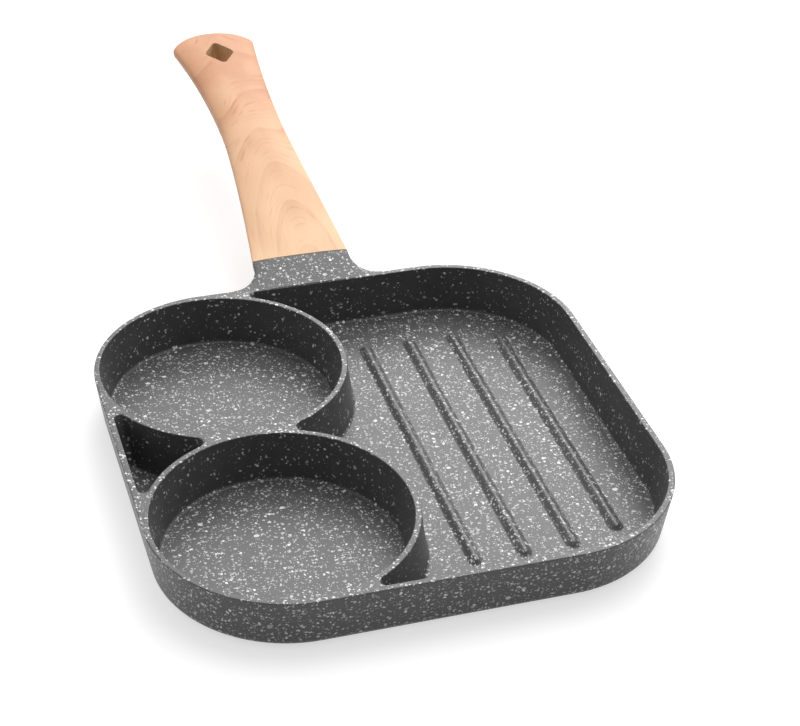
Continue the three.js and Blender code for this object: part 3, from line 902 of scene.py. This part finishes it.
def stone_coat():
    material, tree = new_material("stone_coat")
    place = object_place(tree)
    chipped = ragged_place(tree, place)
    # Fewer flecks on the steep inner walls of the hollows: painted shade
    kept = flecks_thinned_in_shade(tree)
    white = flecks(tree, chipped, kept, *FLECK_LAYERS[0])
    for layer in FLECK_LAYERS[1:]:
        white = reckon(tree, "MAXIMUM", white, flecks(tree, chipped, kept, *layer))
    cloud = noise(tree, place, CLOUD_SIZE, 4).outputs[0]
    grey = blend(tree, cloud, COAT_DARK, COAT_PALE)
    grain = noise(tree, place, COAT_GRAIN, 3).outputs[0]
    relief = reckon(tree, "ADD", reckon(tree, "MULTIPLY", grain, GRAIN_RELIEF), white)
    finish_surface(
        tree,
        {
            "Base Color": blend(tree, white, grey, FLECK_WHITE),
            "Roughness": spread(tree, grain, *COAT_ROUGHNESS),
            "Normal": roughen(tree, relief, *COAT_BUMP),
        },
    )
    return material


def turned_base():
    material, tree = new_material("turned_base")
    place = object_place(tree)
    parts = add_node(tree, "SeparateXYZ", {"Vector": place})
    squares = [reckon(tree, "POWER", parts.outputs[i], 2) for i in range(2)]
    radius = reckon(tree, "SQRT", reckon(tree, "ADD", *squares))
    rings = add_node(tree, "CombineXYZ", {"X": radius})
    lines = noise(tree, rings.outputs[0], TURN_LINE, 3).outputs[0]
    bands = noise(tree, rings.outputs[0], TURN_BAND, 3).outputs[0]
    finish_surface(
        tree,
        {
            "Base Color": blend(tree, spread(tree, bands, 0, 1), BASE_DARK, BASE_PALE),
            "Metallic": 1.0,
            "Roughness": spread(tree, lines, *BASE_ROUGHNESS),
            "Normal": roughen(tree, lines, *BASE_BUMP),
        },
    )
    return material


def handle_place(tree):
    """Object coordinates turned so that Y runs along the handle from the joint."""
    turn = {"Vector": object_place(tree), "Location": JOINT, "Rotation": (RISE, 0, 0)}
    return add_node(tree, "Mapping", turn, vector_type="TEXTURE").outputs[0]


def growth_rings(tree, place):
    """Distance from the heart of the tree, which slants away under the handle towards the tail."""
    calm = shift(tree, "MULTIPLY", place, SWAY_STRETCH)
    swayed = pull_about(tree, place, noise(tree, calm, SWAY_SIZE, 1), RING_SWAY)
    parts = add_node(tree, "SeparateXYZ", {"Vector": swayed})
    across = reckon(tree, "SUBTRACT", parts.outputs[0], HEART_SIDE)
    bow = reckon(tree, "DIVIDE", reckon(tree, "POWER", parts.outputs[1], 2), 2 * ARCH_RADIUS)
    slant = reckon(tree, "MULTIPLY_ADD", parts.outputs[1], HEART_SLANT, HEART_DEPTH)
    depth = reckon(tree, "ADD", reckon(tree, "ADD", parts.outputs[2], bow), slant)
    squares = [reckon(tree, "POWER", part, 2) for part in (across, depth)]
    return reckon(tree, "SQRT", reckon(tree, "ADD", *squares)), parts.outputs[1]


def wood_ground(tree, place, along, fibre):
    """A tone that deepens in soft patches towards the tail, with the wood's fibres."""
    mottle = noise(tree, shift(tree, "MULTIPLY", place, MOTTLE_STRETCH), MOTTLE_SIZE, 1).outputs[0]
    far = span(tree, along, 0, DEEPEST_AT, *TONE_ALONG)
    deep = reckon(tree, "MULTIPLY_ADD", mottle, MOTTLE_SHARE, far, clamp=True)
    tone = blend(tree, deep, WOOD_JOINT, WOOD_TAIL)
    return blend(tree, reckon(tree, "MULTIPLY", fibre, FIBRE_SHARE), tone, WOOD_DARK)


def late_wood(tree, radius, along, patchy):
    """The darker edge of each growth ring, stronger in some patches and towards the tail."""
    year = reckon(tree, "FRACT", reckon(tree, "DIVIDE", radius, RING_PITCH))
    edge = reckon(tree, "POWER", year, RING_EDGE)
    spare = span(tree, patchy, *LATE_PATCHES)
    strong = span(tree, along, 0, DEEPEST_AT, *LATE_ALONG)
    return reckon(tree, "MULTIPLY", edge, reckon(tree, "MULTIPLY", spare, strong))


def streaks(tree, radius, along, patchy):
    """Short dark threads that follow the rings, more of them towards the tail."""
    across = reckon(tree, "DIVIDE", radius, STREAK_WIDTH)
    down = reckon(tree, "DIVIDE", along, STREAK_LENGTH)
    thread = add_node(tree, "CombineXYZ", {"X": across, "Y": down}).outputs[0]
    fine = span(tree, noise(tree, thread, 1, 1).outputs[0], *STREAK_LINES)
    few = span(tree, patchy, *STREAK_PATCHES)
    many = span(tree, along, 0, DEEPEST_AT, *STREAK_ALONG)
    return reckon(tree, "MULTIPLY", fine, reckon(tree, "MULTIPLY", few, many))


def pale_wood():
    material, tree = new_material("pale_wood")
    place = handle_place(tree)
    radius, along = growth_rings(tree, place)
    patchy = noise(tree, shift(tree, "MULTIPLY", place, PATCH_STRETCH), PATCH_SIZE).outputs[0]
    fibre = noise(tree, shift(tree, "MULTIPLY", place, FIBRE_STRETCH), FIBRE_SIZE, 3).outputs[0]
    ground = wood_ground(tree, place, along, fibre)
    banded = blend(tree, late_wood(tree, radius, along, patchy), ground, WOOD_STREAK)
    finish_surface(
        tree,
        {
            "Base Color": blend(tree, streaks(tree, radius, along, patchy), banded, WOOD_STREAK),
            "Roughness": spread(tree, fibre, *WOOD_ROUGHNESS),
            "Specular IOR Level": WOOD_SHINE,
            "Normal": roughen(tree, fibre, *WOOD_BUMP),
        },
    )
    return material


def end_grain():
    """The cut wood inside the hanging hole and the screw's bore."""
    material, tree = new_material("end_grain")
    place = handle_place(tree)
    fibre = noise(tree, shift(tree, "MULTIPLY", place, CUT_STRETCH), CUT_FIBRE, 3).outputs[0]
    finish_surface(
        tree,
        {
            "Base Color": blend(tree, fibre, CUT_PALE, CUT_DARK),
            "Roughness": spread(tree, fibre, *CUT_ROUGHNESS),
            "Normal": roughen(tree, fibre, *CUT_BUMP),
        },
    )
    return material


def plated_steel():
    material, tree = new_material("plated_steel")
    place = object_place(tree)
    scuff = noise(tree, place, SCUFF_SIZE, 4).outputs[0]
    finish_surface(
        tree,
        {
            "Base Color": blend(tree, scuff, STEEL_DARK, STEEL_PALE),
            "Metallic": 1.0,
            "Roughness": spread(tree, scuff, *STEEL_ROUGHNESS),
            "Normal": roughen(tree, scuff, *STEEL_BUMP),
        },
    )
    return material


# Shading and finishes on the pieces

def smooth(piece):
    take_up(piece)
    bpy.ops.object.shade_smooth_by_angle(angle=CREASE)
    weighted = piece.modifiers.new("even_shading", "WEIGHTED_NORMAL")
    weighted.keep_sharp = True
    bpy.ops.object.modifier_apply(modifier=weighted.name)


def dress(piece, node, slot, *materials):
    piece.data.materials.clear()
    for material in materials:
        piece.data.materials.append(material)
    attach(piece, "root")
    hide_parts(node)


def paint_cuts(handle):
    """Shows end grain on the walls of the hanging hole and the screw's bore."""
    level = Matrix.Rotation(-RISE, 3, "X")
    middle = HANDLE_LENGTH - HOLE_FROM_END
    for face in handle.data.polygons:
        spot = level @ (face.center - JOINT)
        upright = abs((level @ face.normal).z) < UPRIGHT
        in_hole = math.hypot(spot.x, spot.y - middle) < HOLE_REACH
        in_bore = math.hypot(spot.x, spot.y - SCREW_AT) < BORE_RADIUS + EDGE_ROUND
        face.material_index = int(upright and (in_hole or in_bore))


def paint_base(casting):
    """Leaves the turned pad under the pan bare."""
    for face in casting.data.polygons:
        heights = [casting.data.vertices[i].co.z for i in face.vertices]
        face.material_index = int(max(heights) < PAD_HEIGHT - TOUCH)


# Studio

def add_camera():
    azimuth, elevation, roll = CAMERA_AZIMUTH, CAMERA_ELEVATION, CAMERA_ROLL
    back = Vector((
        math.sin(azimuth) * math.cos(elevation),
        -math.cos(azimuth) * math.cos(elevation),
        math.sin(elevation),
    ))
    level = Vector((math.cos(azimuth), math.sin(azimuth), 0))
    upright = back.cross(level)
    right = math.cos(roll) * level + math.sin(roll) * upright
    up = back.cross(right)
    data = bpy.data.cameras.new("camera")
    data.lens = CAMERA_LENS
    data.sensor_width = CAMERA_SENSOR
    data.clip_start = CAMERA_CLIP
    camera = bpy.data.objects.new("camera", data)
    bpy.context.collection.objects.link(camera)
    turn = Matrix((right, up, back)).transposed().to_4x4()
    camera.matrix_world = Matrix.Translation(CAMERA_AIM + CAMERA_DISTANCE * back) @ turn
    bpy.context.scene.camera = camera


def add_lamp(name, place, size, power):
    data = bpy.data.lights.new(name, "AREA")
    data.shape = "DISK"
    data.size = size
    data.energy = power
    lamp = bpy.data.objects.new(name, data)
    bpy.context.collection.objects.link(lamp)
    lamp.location = place
    lamp.rotation_euler = (JOINT / 2 - Vector(place)).to_track_quat("-Z", "Y").to_euler()


def seen_directly(tree):
    """1 where the camera looks, also by way of a clear or a shiny face, and 0 for other light."""
    rays = add_node(tree, "LightPath", {})
    seen = reckon(tree, "ADD", rays.outputs["Is Camera Ray"], rays.outputs["Is Transmission Ray"])
    return reckon(tree, "ADD", seen, rays.outputs["Is Glossy Ray"], clamp=True)


def floor_finish():
    material, tree = new_material("pale_floor")
    place = object_place(tree)
    cloud = noise(tree, place, FLOOR_CLOUD).outputs[0]
    darkest = (1 - FLOOR_MOTTLE) * FLOOR_TONE
    palest = (1 + FLOOR_MOTTLE) * FLOOR_TONE
    tone = span(tree, cloud, 0, 1, darkest, palest)
    matt = add_node(tree, "BsdfDiffuse", {"Color": tone})
    glow = add_node(tree, "Emission", {"Color": (1, 1, 1, 1), "Strength": FLOOR_GLOW})
    both = add_node(tree, "AddShader", {0: matt.outputs[0], 1: glow.outputs[0]})
    pick = add_node(tree, "MixShader", {0: seen_directly(tree), 1: matt.outputs[0], 2: both.outputs[0]})
    below = add_node(tree, "NewGeometry", {}).outputs["Backfacing"]
    clear = add_node(tree, "BsdfTransparent", {})
    sheet = add_node(tree, "MixShader", {0: below, 1: pick.outputs[0], 2: clear.outputs[0]})
    add_node(tree, "OutputMaterial", {"Surface": sheet.outputs[0]})
    return material


def add_floor():
    bpy.ops.object.select_all(action="DESELECT")
    bpy.ops.mesh.primitive_plane_add(size=FLOOR_SIZE, location=(0, 0, -FLOOR_DROP))
    floor = bpy.context.object
    floor.name = "floor"
    floor.data.materials.append(floor_finish())


def light_world():
    world = bpy.data.worlds.new("studio")
    bpy.context.scene.world = world
    world.use_nodes = True
    tree = world.node_tree
    tree.nodes.clear()
    toward = add_node(tree, "TexCoord", {}).outputs["Generated"]
    facing = add_node(tree, "VectorMath", {0: toward, 1: WORLD_TOWARD}, operation="DOT_PRODUCT")
    behind = span(tree, facing.outputs["Value"], WORLD_TURN, 1, WORLD_DARK, WORLD_LIGHT)
    across = add_node(tree, "SeparateXYZ", {"Vector": toward}).outputs[0]
    level = reckon(tree, "MULTIPLY_ADD", reckon(tree, "POWER", across, 2), WORLD_SIDES, behind)
    dim = add_node(tree, "Background", {"Strength": level})
    white = add_node(tree, "Background", {"Strength": 1.0})
    for node in (dim, white):
        node.inputs["Color"].default_value = (1, 1, 1, 1)
    camera_ray = add_node(tree, "LightPath", {}).outputs["Is Camera Ray"]
    pick = add_node(tree, "MixShader", {0: camera_ray, 1: dim.outputs[0], 2: white.outputs[0]})
    add_node(tree, "OutputWorld", {"Surface": pick.outputs[0]})


def main():
    bpy.context.scene.view_settings.view_transform = "Standard"
    casting = make_casting()
    handle = make_handle()
    screw = make_screw()
    for piece in (casting, handle, screw):
        smooth(piece)
    steel = plated_steel()
    dress(casting, "pan_body", "stone_coat", stone_coat(), turned_base())
    paint_base(casting)
    dress(handle, "handle", "pale_wood", pale_wood(), end_grain())
    paint_cuts(handle)
    dress(screw, "handle_screw", "plated_steel", steel)
    for name in ("spring_washer", "flat_washer"):
        washer = bpy.data.objects[name]
        washer.data.materials.clear()
        washer.data.materials.append(steel)
    add_camera()
    add_floor()
    light_world()
    add_lamp("back_box", *BACK_BOX)
    add_lamp("top_box", *TOP_BOX)


main()
